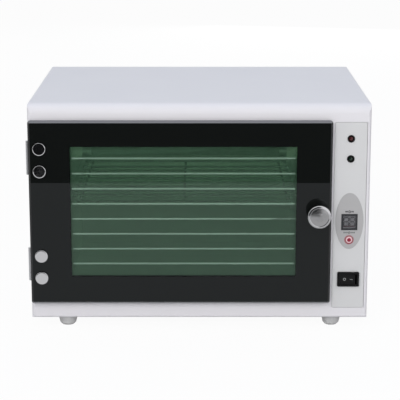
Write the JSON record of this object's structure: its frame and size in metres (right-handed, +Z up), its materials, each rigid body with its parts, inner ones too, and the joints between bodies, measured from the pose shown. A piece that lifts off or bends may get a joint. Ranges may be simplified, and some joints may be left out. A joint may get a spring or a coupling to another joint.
{
  "type": "uv sterilizer cabinet",
  "caption": "Table-top ultraviolet sterilizer cabinet for salon tools: white steel case, side-hinged dark glass door with green window and chrome knob, wire rack inside, slim control panel.",
  "frame": {"origin": "on the table plane, under the middle of the whole object", "axes": "+X to the right along the front, +Y from the door towards the back, +Z up"},
  "size_m": [0.3418, 0.291, 0.232],
  "materials": {
    "white_powder_coat": "satin powder coat",
    "panel_plastic": "fine moulded",
    "silver_label": "silver-grey printed",
    "stainless_liner": "bright rolled",
    "zinc_steel": "zinc plated",
    "bright_chrome": "polished",
    "lamp_glass": "clear quartz",
    "lamp_aluminium": "satin",
    "holder_plastic": "moulded",
    "door_glass": "polished float glass",
    "black_print": "black print under glass",
    "green_film": "green tint",
    "pale_print": "pale printed line",
    "seal_rubber": "matt",
    "clear_nylon": "clear moulded",
    "catch_plastic": "moulded",
    "nickel_magnet": "nickel plated",
    "display_black": "smooth",
    "display_filter": "smoked filter",
    "display_bars": "unlit bars",
    "red_ring": "moulded",
    "pink_button": "moulded",
    "black_plastic": "moulded",
    "red_lens": "tinted epoxy",
    "green_lens": "tinted epoxy",
    "foot_rubber": "matt grey",
    "circuit_board": "solder mask",
    "transformer_iron": "varnished laminations",
    "starter_can": "satin",
    "wire_pvc": "extruded"
  },
  "bodies": {
    "cabinet": {"ballast": "transformer_iron", "base_pan": "white_powder_coat", "board_transformer": "transformer_iron", "button_ring": "red_ring", "button_switch": "black_plastic", "cabinet_wrap": "white_powder_coat", "cable_gland": "black_plastic", "case_screws": "zinc_steel", "catch_magnet": "nickel_magnet", "chamber_back_wall": "stainless_liner", "chamber_ceiling": "stainless_liner", "chamber_floor": "stainless_liner", "chamber_left_wall": "stainless_liner", "chamber_right_wall": "stainless_liner", "chamber_supports": "zinc_steel", "control_board": "circuit_board", "control_panel": "panel_plastic", "display_housing": "display_black", "display_segments": "display_bars", "display_window": "display_filter", "fascia_screws": "zinc_steel", "feet": "foot_rubber", "frame_hinge_leaves": "zinc_steel", "front_fascia": "white_powder_coat", "gland_nut": "black_plastic", "green_indicator": "green_lens", "hinge_backing_plates": "zinc_steel", "hinge_pins": "zinc_steel", "indicator_bezels": "black_plastic", "inside_screws": "zinc_steel", "inside_wires": "wire_pvc", "lamp_end_caps": "lamp_aluminium", "lamp_holders": "holder_plastic", "lamp_lead_grommets": "seal_rubber", "lamp_reflector": "lamp_aluminium", "magnet_catch": "catch_plastic", "oval_plate": "silver_label", "rack_rails": "stainless_liner", "rear_panel": "white_powder_coat", "red_indicator": "red_lens", "relay": "black_plastic", "rocker_housing": "black_plastic", "starter": "starter_can", "starter_socket": "holder_plastic", "terminal_block": "holder_plastic", "uv_lamp_tube": "lamp_glass"},
    "door": {"door_glass": "door_glass", "door_border_film": "black_print", "window_film": "green_film", "window_lines": "pale_print", "door_seal": "seal_rubber", "door_hinge_leaves": "zinc_steel", "hinge_caps": "bright_chrome", "glass_washers": "clear_nylon", "door_knob": "bright_chrome", "knob_screw": "zinc_steel", "catch_strike_plate": "zinc_steel"},
    "rack": {"wire_rack": "bright_chrome"},
    "button": {"power_button": "pink_button"},
    "rocker": {"rocker_paddle": "black_plastic"}
  },
  "joints": [
    {"name": "door_hinge", "type": "hinge", "parent": "cabinet", "child": "door", "pos_m": [-0.1689, -0.12075, 0.1236], "axis": [0, 0, -1], "range_deg": [0, 110]},
    {"name": "rack_slide", "type": "slide", "parent": "cabinet", "child": "rack", "axis": [0, -1, 0], "range_m": [0, 0.0975]},
    {"name": "button_press", "type": "slide", "parent": "cabinet", "child": "button", "axis": [0, 1, 0], "range_m": [0, 0.001], "stiffness_N_per_m": 400},
    {"name": "rocker_tilt", "type": "hinge", "parent": "cabinet", "child": "rocker", "pos_m": [0.151, -0.11605, 0.0527], "axis": [0, 0, 1], "range_deg": [0, 16]}
  ],
  "couplings": [
    {"joint": "rack_slide", "follows": "door_hinge", "m_per_rad": 0.05}
  ]
}
